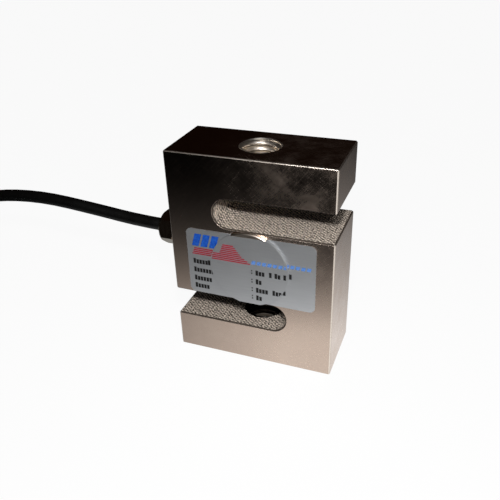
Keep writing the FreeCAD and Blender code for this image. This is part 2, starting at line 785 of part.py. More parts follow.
def build_cable():
    """The jacketed cable on each side of its coil, and the stripped cores at the far end."""
    coil = build_coil()
    radius = size("cable_radius")
    solid, length, radii = tube([Vector(*point) for point in CABLE_ROUTE], radius)
    print("cable: length", round(length, 1), "bend radii", radii)
    feature("cable", solid.cut(coil.Shape))
    start, end = Vector(*TAIL_START), Vector(*TAIL_END)
    run = end - start
    tail = Part.makeCylinder(radius, run.Length, start, run)
    feature("cable_tail", tail.cut(coil.Shape))
    build_far_end(end)


# ---------------------------------------------------------------- build, check and write

build_spring_element()
build_cover("front_cover", -1)
build_cover("rear_cover", 1)
build_label()
front_gauge = build_gauge("front_gauge", 0)
rear_gauge = build_gauge("rear_gauge", 180)
resistors = [build_resistor("span_resistor", -1), build_resistor("zero_resistor", 1)]
board = build_board()
doc.recompute()
front_leads, rear_leads = build_gauge_leads()
inner_cores = build_inner_cores()
bonded = [front_gauge, board, front_leads, rear_leads]
build_potting("front_potting", -1, bonded + resistors + inner_cores)
build_potting("rear_potting", 1, [rear_gauge, rear_leads] + inner_cores)
build_gland()
doc.recompute()
build_cable()
doc.recompute()

for item in doc.Objects:
    if "Invalid" in item.State or "Error" in item.State:
        raise RuntimeError(f"{item.Label} failed: {item.State}")
os.makedirs("parts", exist_ok=True)
for item in nodes:
    shape = item.Shape
    if shape.isNull() or not shape.isValid() or not shape.Solids:
        raise RuntimeError(f"{item.Label} has no valid solid")
    shape.exportStep(f"parts/{item.Label}.step")
print(len(nodes), "nodes written")
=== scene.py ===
"""The looks of an s type load cell: a ground, nickel-plated steel S on a pale bench, with its foil label,
its threaded holes, its cable gland and its black signal cable. Sizes are named in millimetres, and set in
metres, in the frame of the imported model."""

import math

import bmesh
import bpy
from mathutils import Matrix, Vector, noise
from mathutils.bvhtree import BVHTree


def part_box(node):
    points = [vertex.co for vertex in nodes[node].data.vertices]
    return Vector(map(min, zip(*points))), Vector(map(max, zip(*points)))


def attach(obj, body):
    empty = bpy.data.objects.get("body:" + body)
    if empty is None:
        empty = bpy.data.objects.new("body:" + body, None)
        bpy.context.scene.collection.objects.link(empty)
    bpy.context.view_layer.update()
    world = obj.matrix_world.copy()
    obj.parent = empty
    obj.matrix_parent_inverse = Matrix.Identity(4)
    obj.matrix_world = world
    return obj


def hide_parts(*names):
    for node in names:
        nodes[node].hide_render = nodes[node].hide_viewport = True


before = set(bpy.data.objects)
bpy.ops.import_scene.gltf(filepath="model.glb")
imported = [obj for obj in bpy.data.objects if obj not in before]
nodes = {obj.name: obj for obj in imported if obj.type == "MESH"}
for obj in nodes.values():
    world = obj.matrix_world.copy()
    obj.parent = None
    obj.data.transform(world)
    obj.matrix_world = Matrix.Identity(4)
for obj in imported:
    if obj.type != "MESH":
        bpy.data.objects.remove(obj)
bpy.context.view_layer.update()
scene = bpy.context.scene
scene.view_settings.view_transform = "Standard"
mm = 0.001


# ---- Camera --------------------------------------------------------------------------------------
# A compact camera held close, a little to the right of the label and about thirty degrees above the bench,
# leaning by two degrees. From so near, the lens draws the cell with strong perspective.

azimuth = math.radians(21.79)
elevation = math.radians(29.88)
lean = math.radians(-1.96)
aim = Vector((-4.355, 0.0, 33.55)) * mm
distance = 187.6 * mm

ahead = Vector((-math.sin(azimuth), math.cos(azimuth), 0.0))
back = Vector((0.0, 0.0, math.sin(elevation))) - ahead * math.cos(elevation)
level = Vector((math.cos(azimuth), math.sin(azimuth), 0.0))
right = level * math.cos(lean) + back.cross(level) * math.sin(lean)
turned = Matrix((right, back.cross(right), back)).transposed().to_4x4()
camera = bpy.data.objects.new("camera", bpy.data.cameras.new("camera"))
camera.data.lens = 42.89
camera.data.sensor_width = 36.0
camera.data.clip_start = 0.005
camera.matrix_world = Matrix.Translation(aim + back * distance) @ turned
scene.collection.objects.link(camera)
scene.camera = camera


# ---- Signal cable --------------------------------------------------------------------------------
# Four cores and a screen in a black PVC jacket, extruded 4.2 mm thick; 3 m of it. It leaves the gland
# level, arches a little, and the rest is put away in a tied coil, wound from the top layer down.

CABLE_DIAMETER = 4.2
ROUTE = [
    (-24.0, 0.0, 37.7),
    (-41.0, 0.0, 37.7),
    (-60.0, -0.4, 40.0),
    (-82.0, -0.8, 42.0),
    (-104.0, 0.4, 39.0),
    (-120.0, 4.6, 32.0),
    (-134.0, 8.6, 28.4),
]
TAIL = [(-134.0, -43.6, 2.8), (-126.0, -43.5, 2.4), (-118.0, -43.5, 2.3)]
COIL_LAYERS = 7
TURNS_PER_LAYER = 3
TURN_SPACING = 4.3
POINTS_PER_TURN = 18
COIL_START, COIL_END = 100, 270  # the bearings, in degrees, where the coil is joined on and left
TURN_START = 90  # the bearing at which each turn starts, in its own place
CROSS_OVER = 0.28  # the share of a turn, at its end, in which the cable moves over to its next place
UNEVENNESS = 0.3  # how far the turns stray from round, except under the ties
TIE_ANGLES = (20, 200)


def coil_points():
    """The coil's turns, from the outer turn of the top layer to the outer turn of the bottom one."""
    low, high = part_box("cable_coil")
    centre = (low + high) / 2 / mm
    outermost = (high.x - low.x) / 2 / mm - CABLE_DIAMETER / 2
    lowest = low.z / mm + CABLE_DIAMETER / 2
    places = []
    for layer in range(COIL_LAYERS):
        height = lowest + CABLE_DIAMETER * (COIL_LAYERS - 1 - layer)
        inwards = range(TURNS_PER_LAYER)
        order = inwards if layer % 2 == 0 else reversed(inwards)
        places += [(outermost - TURN_SPACING * turn, height) for turn in order]
    # The spline runs a little inside its points, so they stand out by as much.
    swell = 1 / math.sqrt(math.cos(math.pi / POINTS_PER_TURN))
    end = COIL_END + 360 * (len(places) - 1)
    points = []
    for angle in range(COIL_START, end + 1, 360 // POINTS_PER_TURN):
        number, part = divmod((angle - TURN_START) / 360, 1)
        here, there = places[int(number)], places[min(int(number) + 1, len(places) - 1)]
        step = max(0.0, (part - (1 - CROSS_OVER)) / CROSS_OVER)
        step = step * step * (3 - 2 * step)
        reach = here[0] + (there[0] - here[0]) * step
        height = here[1] + (there[1] - here[1]) * step
        if angle % 360 not in TIE_ANGLES:
            reach += UNEVENNESS * noise.noise(Vector((number * 1.7, angle * 0.011, 0.3)))
        reach *= swell
        bearing = math.radians(angle)
        points.append((centre.x + reach * math.cos(bearing), centre.y + reach * math.sin(bearing), height))
    return points


def make_cable():
    """The whole cable as one smooth tube: its route from the gland, its coil and its last stretch."""
    curve = bpy.data.curves.new("signal_cable", "CURVE")
    curve.dimensions = "3D"
    curve.bevel_depth = CABLE_DIAMETER / 2 * mm
    curve.bevel_resolution = 6
    curve.resolution_u = 4
    curve.use_fill_caps = True
    points = ROUTE + coil_points() + TAIL
    line = curve.splines.new("NURBS")
    line.points.add(len(points) - 1)
    for point, place in zip(line.points, points):
        point.co = (*(Vector(place) * mm), 1.0)
    line.order_u = 3
    line.use_endpoint_u = True
    cable = bpy.data.objects.new("signal_cable", curve)
    scene.collection.objects.link(cable)
    return cable


def linear(hex_colour):
    """An sRGB hex colour as linear red, green, blue and alpha."""
    channels = [int(hex_colour[i:i + 2], 16) / 255 for i in (1, 3, 5)]
    return (*(c / 12.92 if c <= 0.04045 else ((c + 0.055) / 1.055) ** 2.4 for c in channels), 1.0)


def put(tree, kind, inputs=None, **settings):
    """Adds a node with its settings. Each input gets a plain value, or the output to link into it."""
    node = tree.nodes.new(kind)
    for name, setting in settings.items():
        setattr(node, name, setting)
    for socket, given in (inputs or {}).items():
        if isinstance(given, bpy.types.NodeSocket):
            tree.links.new(given, node.inputs[socket])
        else:
            node.inputs[socket].default_value = given
    return node


# The sockets of a Mix node that is set to colours.
FACTOR, FIRST, SECOND, MIXED = 0, 6, 7, 2


def start_material(name):
    """A new material's node tree and its place in the object's own coordinates, in metres."""
    material = bpy.data.materials.new(name)
    material.use_nodes = True
    material.node_tree.nodes.clear()
    place = put(material.node_tree, "ShaderNodeTexCoord").outputs["Object"]
    return material, material.node_tree, place


def finish_material(tree, inputs):
    """The Principled shader and the output that end a material."""
    shader = put(tree, "ShaderNodeBsdfPrincipled", inputs)
    put(tree, "ShaderNodeOutputMaterial", {"Surface": shader.outputs["BSDF"]})


def dress(name, material):
    """Gives a CAD node its finish."""
    nodes[name].data.materials.clear()
    nodes[name].data.materials.append(material)


def extruded_pvc(name, colour, paler, roughness=0.38):
    """PVC pulled through a die: one colour with a soft sheen, broken by fine grain and by handling."""
    material, tree, place = start_material(name)
    grain = put(tree, "ShaderNodeTexNoise", {"Vector": place, "Scale": 1 / (0.9 * mm), "Detail": 3.0})
    smears = put(tree, "ShaderNodeTexNoise", {"Vector": place, "Scale": 1 / (8 * mm), "Detail": 2.0})
    colours = put(tree, "ShaderNodeMix", {
        FACTOR: grain.outputs["Fac"], FIRST: linear(colour), SECOND: linear(paler)}, data_type="RGBA")
    dulled = put(tree, "ShaderNodeMapRange", {
        "Value": smears.outputs["Fac"], "From Min": 0.3, "From Max": 0.7,
        "To Min": roughness - 0.06, "To Max": roughness + 0.1})
    bump = put(tree, "ShaderNodeBump", {
        "Height": grain.outputs["Fac"], "Strength": 0.25, "Distance": 0.04 * mm})
    finish_material(tree, {
        "Base Color": colours.outputs[MIXED], "Roughness": dulled.outputs["Result"],
        "IOR": 1.53, "Normal": bump.outputs["Normal"]})
    return material


cable = make_cable()
cable.data.materials.append(extruded_pvc("black PVC jacket", "#070707", "#101010", roughness=0.27))
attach(cable, "root")
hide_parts("cable", "cable_coil", "cable_tail")


# ---- Stripped end --------------------------------------------------------------------------------
# The jacket is cut back from four stranded cores in coloured PVC, and from the screen's drain wire, which
# is tinned copper.

CORE_COLOURS = {
    "red": ("#a81713", "#bf2a22"),
    "black": ("#111111", "#1d1d1d"),
    "green": ("#11692f", "#1c7d3e"),
    "white": ("#d9d8d2", "#e6e5df"),
}


def tinned_copper():
    """Fine copper strands, tinned: a dull silver with the lay of the twist across it."""
    material, tree, place = start_material("tinned copper strands")
    lay = put(tree, "ShaderNodeTexWave", {"Vector": place, "Scale": 1 / (7 * mm), "Distortion": 0.6},
              bands_direction="DIAGONAL")
    tarnish = put(tree, "ShaderNodeTexNoise", {"Vector": place, "Scale": 1 / (2 * mm)})
    colours = put(tree, "ShaderNodeMix", {
        FACTOR: tarnish.outputs["Fac"], FIRST: linear("#b9bab8"), SECOND: linear("#8f8e89")},
        data_type="RGBA")
    bump = put(tree, "ShaderNodeBump", {
        "Height": lay.outputs["Fac"], "Strength": 0.5, "Distance": 0.05 * mm})
    finish_material(tree, {
        "Base Color": colours.outputs[MIXED], "Metallic": 1.0, "Roughness": 0.36,
        "Normal": bump.outputs["Normal"]})
    return material


core_finish = {
    colour: extruded_pvc(f"{colour} PVC core", *shades, roughness=0.42)
    for colour, shades in CORE_COLOURS.items()}
for colour, finish in core_finish.items():
    dress(f"core_{colour}", finish)
dress("shield_drain", tinned_copper())


# ---- Coil ties -----------------------------------------------------------------------------------
# Two moulded nylon cable ties, pulled round all the turns, with their heads on top.

def moulded_nylon(name, colour, paler):
    """Polyamide from the mould: a waxy half gloss with faint flow marks."""
    material, tree, place = start_material(name)
    flow = put(tree, "ShaderNodeTexNoise", {
        "Vector": place, "Scale": 1 / (3 * mm), "Detail": 2.0, "Distortion": 0.8})
    spark = put(tree, "ShaderNodeTexNoise", {"Vector": place, "Scale": 1 / (0.25 * mm)})
    colours = put(tree, "ShaderNodeMix", {
        FACTOR: flow.outputs["Fac"], FIRST: linear(colour), SECOND: linear(paler)}, data_type="RGBA")
    sheen = put(tree, "ShaderNodeMapRange", {"Value": flow.outputs["Fac"], "To Min": 0.34, "To Max": 0.5})
    bump = put(tree, "ShaderNodeBump", {
        "Height": spark.outputs["Fac"], "Strength": 0.2, "Distance": 0.02 * mm})
    finish_material(tree, {
        "Base Color": colours.outputs[MIXED], "Roughness": sheen.outputs["Result"], "IOR": 1.53,
        "Subsurface Weight": 0.15, "Subsurface Radius": (1.2 * mm, 1.2 * mm, 1.2 * mm),
        "Subsurface Scale": 1.0, "Normal": bump.outputs["Normal"]})
    return material


tie_nylon = moulded_nylon("black nylon tie", "#131313", "#1e1e1e")
for name in ("coil_tie_near", "coil_tie_far"):
    dress(name, tie_nylon)


# ---- Spring element ------------------------------------------------------------------------------
# One block of alloy steel, milled to an S: its outside is ground, its edges are broken, and the walls of
# its slots are left rough from the cutter. Nickel plating over it all, thin and warm grey, keeps the marks.

ARM_THICKNESS = 13.0
EDGE_BREAK = 0.42
SLOT_RIM = 0.4  # the band of painted shade round the mouth of a slot
BORE_REACH = 6.6  # a bore and its chamfer lie within this radius
BORE_MOUTH = 0.7  # how deep the bright chamfer goes
ON_FACE = 0.05  # what lies no deeper than this below the block's outside is on a ground face
HANDLED_FROM, HANDLED_TO = -18.0, 10.0  # across the cell: clean plating, and plating dulled by hands
SCRATCHES = [(38, 5.0, 0.2), (-44, 4.0, 0.25), (50, 7.0, 0.35)]  # angle in degrees, length and width
SCRATCH_DULLING = 0.06
CUTTER_ROWS = (43, -49)  # the angles, in degrees, of the rows on the slots' walls
CRATER_WEIGHT = 2.4  # how much the craters count beside the rows


def inside_the_block(tree, place):
    """How far inside the block that the body was cut from a point lies, and which way is out, in metres."""
    low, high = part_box("body")
    centre, half = (low + high) / 2, (high - low) / 2
    from_middle = put(tree, "ShaderNodeVectorMath", {
        0: place, 1: centre}, operation="SUBTRACT").outputs["Vector"]
    distance = put(tree, "ShaderNodeVectorMath", {0: from_middle}, operation="ABSOLUTE").outputs["Vector"]
    inside = put(tree, "ShaderNodeVectorMath", {
        0: half, 1: distance}, operation="SUBTRACT").outputs["Vector"]
    outwards = put(tree, "ShaderNodeVectorMath", {0: from_middle}, operation="SIGN").outputs["Vector"]
    return inside, outwards


def along_the_face(tree, place, inside):
    """The same place as two coordinates that lie in whichever ground face it is on."""
    x, y, z = put(tree, "ShaderNodeSeparateXYZ", {"Vector": place}).outputs
    limits = {"From Min": ON_FACE * mm, "From Max": (ON_FACE + 0.01) * mm, "To Min": 1.0, "To Max": 0.0}
    on_side = put(tree, "ShaderNodeMapRange", {"Value": inside[0], **limits}).outputs["Result"]
    on_top = put(tree, "ShaderNodeMapRange", {"Value": inside[2], **limits}).outputs["Result"]
    across = put(tree, "ShaderNodeMix", {0: on_side, 2: x, 3: y}).outputs[0]
    up = put(tree, "ShaderNodeMix", {0: on_top, 2: z, 3: y}).outputs[0]
    return put(tree, "ShaderNodeCombineXYZ", {"X": across, "Y": up}).outputs["Vector"]


def rounded_edge(tree, inside, outwards):
    """The way that a broken edge faces where the wheel has rounded it over between its two faces."""
    reach = put(tree, "ShaderNodeVectorMath", {0: (EDGE_BREAK * mm,) * 3, 1: inside}, operation="SUBTRACT")
    reach = put(tree, "ShaderNodeVectorMath", {
        0: reach.outputs["Vector"], 1: (0, 0, 0)}, operation="MAXIMUM")
    facing = put(tree, "ShaderNodeVectorMath", {
        0: reach.outputs["Vector"], 1: outwards}, operation="MULTIPLY")
    return put(tree, "ShaderNodeVectorMath", {
        0: facing.outputs["Vector"]}, operation="NORMALIZE").outputs["Vector"]


def plated_steel():
    """Nickel on ground steel: satin faces with faint scratches, bright edges and granular slot walls."""
    material, tree, place = start_material("nickel-plated ground steel")
    inside_vector, outwards = inside_the_block(tree, place)
    inside = put(tree, "ShaderNodeSeparateXYZ", {"Vector": inside_vector}).outputs
    depth = put(tree, "ShaderNodeMath", {0: inside[0], 1: inside[1]}, operation="MINIMUM").outputs["Value"]
    depth = put(tree, "ShaderNodeMath", {0: depth, 1: inside[2]}, operation="MINIMUM").outputs["Value"]
    on_face = put(tree, "ShaderNodeMapRange", {
        "Value": depth, "From Min": 0.01 * mm, "From Max": ON_FACE * mm,
        "To Min": 1.0, "To Max": 0.0}).outputs["Result"]

    # Only the block's own edges have a second small distance. What has none and is on no face is in a slot.
    pairs = []
    for one, other in ((0, 1), (0, 2), (1, 2)):
        pairs.append(put(tree, "ShaderNodeMath", {
            0: inside[one], 1: inside[other]}, operation="MAXIMUM").outputs["Value"])
    second = put(tree, "ShaderNodeMath", {0: pairs[0], 1: pairs[1]}, operation="MINIMUM").outputs["Value"]
    second = put(tree, "ShaderNodeMath", {0: second, 1: pairs[2]}, operation="MINIMUM").outputs["Value"]
    off_edges = put(tree, "ShaderNodeMapRange", {
        "Value": second, "From Min": EDGE_BREAK * mm,
        "From Max": (EDGE_BREAK + ON_FACE) * mm}).outputs["Result"]
    in_slot = put(tree, "ShaderNodeMath", {0: off_edges, 1: on_face}, operation="SUBTRACT").outputs["Value"]
    in_slot = put(tree, "ShaderNodeMath", {0: in_slot, 1: 0.0}, operation="MAXIMUM").outputs["Value"]
    # The band round a slot's mouth, which gets painted shade further down.
    rim_shade = put(tree, "ShaderNodeMapRange", {
        "Value": depth, "From Min": SLOT_RIM * mm, "From Max": (SLOT_RIM + 0.1) * mm,
        "To Min": 1.0, "To Max": 0.0}).outputs["Result"]

    # The bores through the arms are smooth: near the axis, and no deeper than an arm is thick.
    flat = put(tree, "ShaderNodeVectorMath", {
        0: place, 1: (1.0, 1.0, 0.0)}, operation="MULTIPLY").outputs["Vector"]
    radius = put(tree, "ShaderNodeVectorMath", {0: flat}, operation="LENGTH").outputs["Value"]
    near_axis = put(tree, "ShaderNodeMapRange", {
        "Value": radius, "From Min": BORE_REACH * mm, "From Max": (BORE_REACH + 0.1) * mm,
        "To Min": 1.0, "To Max": 0.0}).outputs["Result"]
    in_arm = put(tree, "ShaderNodeMapRange", {
        "Value": inside[2], "From Min": (ARM_THICKNESS - 0.2) * mm, "From Max": (ARM_THICKNESS - 0.1) * mm,
        "To Min": 1.0, "To Max": 0.0})
    in_bore = put(tree, "ShaderNodeMath", {
        0: near_axis, 1: in_arm.outputs["Result"]}, operation="MULTIPLY").outputs["Value"]

    # Grinding: fine scratches that cross each other, drawn wider than real ones so that they show.
    face = along_the_face(tree, place, inside)
    scratches = []
    for angle, long, fine in SCRATCHES:
        along = put(tree, "ShaderNodeMapping", {
            "Vector": face, "Rotation": (0.0, 0.0, math.radians(angle)),
            "Scale": (long * mm, fine * mm, 1.0)}, vector_type="TEXTURE").outputs["Vector"]
        streak = put(tree, "ShaderNodeTexNoise", {
            "Vector": along, "Scale": 1.0, "Detail": 1.0, "Distortion": 0.2})
        scratches.append(put(tree, "ShaderNodeMapRange", {
            "Value": streak.outputs["Fac"], "From Min": 0.5, "From Max": 0.8}).outputs["Result"])
    crossed = put(tree, "ShaderNodeMath", {
        0: scratches[0], 1: scratches[1]}, operation="ADD").outputs["Value"]
    crossed = put(tree, "ShaderNodeMath", {0: crossed, 1: scratches[2]}, operation="ADD").outputs["Value"]

    # Plating: cloudy patches some millimetres across, a little pinker or greyer and more or less glossy.
    clouds = put(tree, "ShaderNodeTexNoise", {
        "Vector": place, "Scale": 1 / (9 * mm), "Detail": 8.0, "Roughness": 0.75})
    patches = put(tree, "ShaderNodeMapRange", {
        "Value": clouds.outputs["Fac"], "From Min": 0.25, "From Max": 0.75}).outputs["Result"]
    plate = put(tree, "ShaderNodeMix", {
        FACTOR: patches, FIRST: linear("#c4b0a2"), SECOND: linear("#d1beaf")},
        data_type="RGBA").outputs[MIXED]

    # Slot walls: the cutter's crossing rows and craters, drawn coarser than real ones so that they show.
    rows = []
    for angle in CUTTER_ROWS:
        turned = put(tree, "ShaderNodeMapping", {
            "Vector": place, "Rotation": (0.0, 0.0, math.radians(angle))})
        rows.append(put(tree, "ShaderNodeTexWave", {
            "Vector": turned.outputs["Vector"], "Scale": 1 / (2.8 * mm), "Distortion": 2.2,
            "Detail": 1.0, "Detail Scale": 3.0}).outputs["Fac"])
    grid = put(tree, "ShaderNodeMath", {0: rows[0], 1: rows[1]}, operation="MULTIPLY").outputs["Value"]
    craters = put(tree, "ShaderNodeTexNoise", {"Vector": place, "Scale": 1 / (0.62 * mm), "Detail": 2.0})
    craters = put(tree, "ShaderNodeMath", {
        0: craters.outputs["Fac"], 1: CRATER_WEIGHT}, operation="MULTIPLY").outputs["Value"]
    grains = put(tree, "ShaderNodeMath", {0: grid, 1: craters}, operation="ADD").outputs["Value"]
    pitted = put(tree, "ShaderNodeMapRange", {
        "Value": grains, "From Min": 1.05, "From Max": 1.9}).outputs["Result"]
    rough_plate = put(tree, "ShaderNodeMix", {
        FACTOR: pitted, FIRST: linear("#4e453d"), SECOND: linear("#eee0d1")},
        data_type="RGBA").outputs[MIXED]

    # Painted shade: the slots' rims are painted dark, and their ceilings, which face down, darker still.
    facing = put(tree, "ShaderNodeNewGeometry").outputs["Normal"]
    up = put(tree, "ShaderNodeSeparateXYZ", {"Vector": facing}).outputs["Z"]
    ceiling = put(tree, "ShaderNodeMapRange", {
        "Value": up, "From Min": -0.8, "From Max": -0.2, "To Min": 1.0, "To Max": 0.0}).outputs["Result"]
    rim_shaded = put(tree, "ShaderNodeMix", {
        FACTOR: rim_shade, FIRST: rough_plate, SECOND: linear("#4a4038")}, data_type="RGBA").outputs[MIXED]
    slot_shaded = put(tree, "ShaderNodeMix", {
        FACTOR: ceiling, FIRST: rim_shaded, SECOND: linear("#231c18")}, data_type="RGBA").outputs[MIXED]
    # Painted shade: below its bright chamfer, a bore's wall is painted darker than its threads.
    bore_shade = put(tree, "ShaderNodeMapRange", {
        "Value": inside[2], "From Min": BORE_MOUTH * mm,
        "From Max": (BORE_MOUTH + 0.3) * mm}).outputs["Result"]
    bore = put(tree, "ShaderNodeMix", {
        FACTOR: bore_shade, FIRST: linear("#f4ece2"), SECOND: linear("#6a6055")},
        data_type="RGBA").outputs[MIXED]
    wall = put(tree, "ShaderNodeMix", {
        FACTOR: in_bore, FIRST: slot_shaded, SECOND: bore}, data_type="RGBA").outputs[MIXED]

    # The faces are glossy at the left, and rougher in patches to the right.
    # Painted highlight: the broken edges get a paler copy of the plating, which brightens their glints.
    edges_highlighted = put(tree, "ShaderNodeMix", {
        FACTOR: on_face, FIRST: linear("#efe4d8"), SECOND: plate}, data_type="RGBA").outputs[MIXED]
    colours = put(tree, "ShaderNodeMix", {FACTOR: in_slot, FIRST: edges_highlighted, SECOND: wall}, data_type="RGBA")
    x = put(tree, "ShaderNodeSeparateXYZ", {"Vector": place}).outputs["X"]
    handled = put(tree, "ShaderNodeMapRange", {
        "Value": x, "From Min": HANDLED_FROM * mm, "From Max": HANDLED_TO * mm},
        interpolation_type="SMOOTHSTEP").outputs["Result"]
    wiped = put(tree, "ShaderNodeMath", {0: patches, 1: handled}, operation="MULTIPLY").outputs["Value"]
    satin = put(tree, "ShaderNodeMapRange", {
        "Value": wiped, "To Min": 0.12, "To Max": 0.38}).outputs["Result"]
    scratched = put(tree, "ShaderNodeMath", {
        0: crossed, 1: SCRATCH_DULLING}, operation="MULTIPLY").outputs["Value"]
    satin = put(tree, "ShaderNodeMath", {0: satin, 1: scratched}, operation="ADD").outputs["Value"]
    edged = put(tree, "ShaderNodeMix", {0: on_face, 2: 0.36, 3: satin}).outputs[0]
    walled = put(tree, "ShaderNodeMix", {0: in_bore, 2: 0.85, 3: 0.3}).outputs[0]
    roughness = put(tree, "ShaderNodeMix", {0: in_slot, 2: edged, 3: walled}).outputs[0]
    smooth = put(tree, "ShaderNodeMath", {0: 1.0, 1: in_bore}, operation="SUBTRACT").outputs["Value"]
    coarse = put(tree, "ShaderNodeMath", {0: in_slot, 1: smooth}, operation="MULTIPLY").outputs["Value"]
    metallic = put(tree, "ShaderNodeMapRange", {
        "Value": coarse, "To Min": 1.0, "To Max": 0.45}).outputs["Result"]

    # Relief: scratches on the faces, rounding over the edges, and grains in the slots but not in the bores.
    scored = put(tree, "ShaderNodeMath", {0: crossed, 1: on_face}, operation="MULTIPLY").outputs["Value"]
    scored = put(tree, "ShaderNodeBump", {
        "Height": scored, "Strength": 0.14, "Distance": 0.01 * mm}).outputs["Normal"]
    rounded = rounded_edge(tree, inside_vector, outwards)
    outside = put(tree, "ShaderNodeMix", {0: on_face, 4: rounded, 5: scored}, data_type="VECTOR").outputs[1]
    cut = put(tree, "ShaderNodeMath", {0: grains, 1: smooth}, operation="MULTIPLY").outputs["Value"]
    cut = put(tree, "ShaderNodeBump", {
        "Height": cut, "Strength": 0.8, "Distance": 0.15 * mm}).outputs["Normal"]
    normal = put(tree, "ShaderNodeMix", {0: in_slot, 4: outside, 5: cut}, data_type="VECTOR").outputs[1]
    finish_material(tree, {
        "Base Color": colours.outputs[MIXED], "Metallic": metallic, "Roughness": roughness,
        "Normal": normal})
    return material


dress("body", plated_steel())


# ---- Threads -------------------------------------------------------------------------------------
# M12 x 1.75 right-hand threads, tapped through each arm before plating. Each is one ridge that winds up the
# bore, with a straight lower flank, a narrow crest, a rounded upper flank and a run-out at both ends.

THREAD_PITCH = 1.75
THREAD_MAJOR = 6.0
THREAD_MINOR = 5.05
STEPS_PER_TURN = 72
RIDGE_FOOT = THREAD_MAJOR + 0.04  # a little inside the steel, so that no gap shows
RIDGE = [  # the radius and height of its corners, from the lower flank over the crest to the upper flank
    (RIDGE_FOOT, -0.81), (THREAD_MINOR, -0.2), (THREAD_MINOR, -0.08), (5.09, 0.06),
    (5.2, 0.22), (5.38, 0.44), (5.62, 0.61), (RIDGE_FOOT, 0.81)]
RIDGE_START = math.radians(-77)
FACE_GAP = 0.03  # between the ridge and either face of the arm
LEAD_IN = 0.3  # how far inside the arm the ridge's middle starts and ends
CORNER_GAP = 0.001  # keeps a clipped ridge's corners apart
PAINTED_SHADE_FROM, PAINTED_SHADE_FULL = 3.0, 8.0  # heights in the lower hole where its painted shade starts, and where it is full


def finished_mesh(name, mesh):
    """Makes a piece from a mesh in the making, and puts it in the scene."""
    data = bpy.data.meshes.new(name)
    mesh.to_mesh(data)
    mesh.free()
    piece = bpy.data.objects.new(name, data)
    scene.collection.objects.link(piece)
    return piece


def thread_turns(name, low):
    """A closed ridge along a helix up the arm whose underside is at low, cut flush at both of its faces."""
    mesh = bmesh.new()
    floor, ceiling = low + FACE_GAP, low + ARM_THICKNESS - FACE_GAP
    first, last = low + LEAD_IN, low + ARM_THICKNESS - LEAD_IN
    steps = int((last - first) / THREAD_PITCH * STEPS_PER_TURN)
    run_out = STEPS_PER_TURN // 6
    sections = []
    for step in range(steps + 1):
        angle = RIDGE_START + 2 * math.pi * step / STEPS_PER_TURN
        height = first + THREAD_PITCH * step / STEPS_PER_TURN
        full = min(1.0, (step + 1) / run_out, (steps - step + 1) / run_out)
        section = []
        for number, (radius, up) in enumerate(RIDGE):
            reach = RIDGE_FOOT - (RIDGE_FOOT - radius) * full
            lowest = floor + CORNER_GAP * number
            highest = ceiling - CORNER_GAP * (len(RIDGE) - number)
            level = min(max(height + up * full, lowest), highest)
            corner = Vector((reach * math.cos(angle), reach * math.sin(angle), level))
            section.append(mesh.verts.new(corner * mm))
        sections.append(section)
    for one, following in zip(sections, sections[1:]):
        for i in range(len(RIDGE)):
            after = (i + 1) % len(RIDGE)
            mesh.faces.new((one[i], following[i], following[after], one[after]))
    mesh.faces.new(sections[0])
    mesh.faces.new(reversed(sections[-1]))
    bmesh.ops.recalc_face_normals(mesh, faces=mesh.faces)
    return finished_mesh(name, mesh)


def tapped_steel():
    """Nickel thread flanks: bright, with the tap's chatter in rings, and painted shade in the lower hole."""
    material, tree, place = start_material("nickel-plated tapped thread")
    rings = put(tree, "ShaderNodeMapping", {
        "Vector": place, "Scale": (1 / (3 * mm), 1 / (3 * mm), 1 / (0.15 * mm))})
    chatter = put(tree, "ShaderNodeTexNoise", {
        "Vector": rings.outputs["Vector"], "Scale": 1.0, "Detail": 1.0})
    stain = put(tree, "ShaderNodeTexNoise", {"Vector": place, "Scale": 1 / (3 * mm)})
    colours = put(tree, "ShaderNodeMix", {
        FACTOR: stain.outputs["Fac"], FIRST: linear("#f4ece2"), SECOND: linear("#e0d6c9")},
        data_type="RGBA")
    # Painted shade: the lower hole's thread is painted near black, fading out towards the hole's foot.
    height = put(tree, "ShaderNodeSeparateXYZ", {"Vector": place}).outputs["Z"]
    shade_rise = put(tree, "ShaderNodeMapRange", {
        "Value": height, "From Min": PAINTED_SHADE_FROM * mm, "From Max": PAINTED_SHADE_FULL * mm}).outputs["Result"]
    lower = put(tree, "ShaderNodeMapRange", {
        "Value": height, "From Min": (ARM_THICKNESS + 1) * mm, "From Max": (ARM_THICKNESS + 2) * mm,
        "To Min": 1.0, "To Max": 0.0}).outputs["Result"]
    painted_shade = put(tree, "ShaderNodeMath", {0: shade_rise, 1: lower}, operation="MULTIPLY").outputs["Value"]
    colours = put(tree, "ShaderNodeMix", {
        FACTOR: painted_shade, FIRST: colours.outputs[MIXED], SECOND: linear("#2a241f")}, data_type="RGBA")
    gloss = put(tree, "ShaderNodeMapRange", {
        "Value": chatter.outputs["Fac"], "To Min": 0.3, "To Max": 0.42})
    bump = put(tree, "ShaderNodeBump", {
        "Height": chatter.outputs["Fac"], "Strength": 0.7, "Distance": 0.08 * mm})
    finish_material(tree, {
        "Base Color": colours.outputs[MIXED], "Metallic": 1.0, "Roughness": gloss.outputs["Result"],
        "Normal": bump.outputs["Normal"]})
    return material


tapped = tapped_steel()
body_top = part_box("body")[1].z / mm
for name, low in (("upper_thread_turns", body_top - ARM_THICKNESS), ("lower_thread_turns", 0.0)):
    ridge = thread_turns(name, low)
    ridge.data.materials.append(tapped)
    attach(ridge, "root")


# ---- Pocket covers -------------------------------------------------------------------------------
# Turned stainless steel discs, glued into the gauge pockets; the lathe left rings on them.

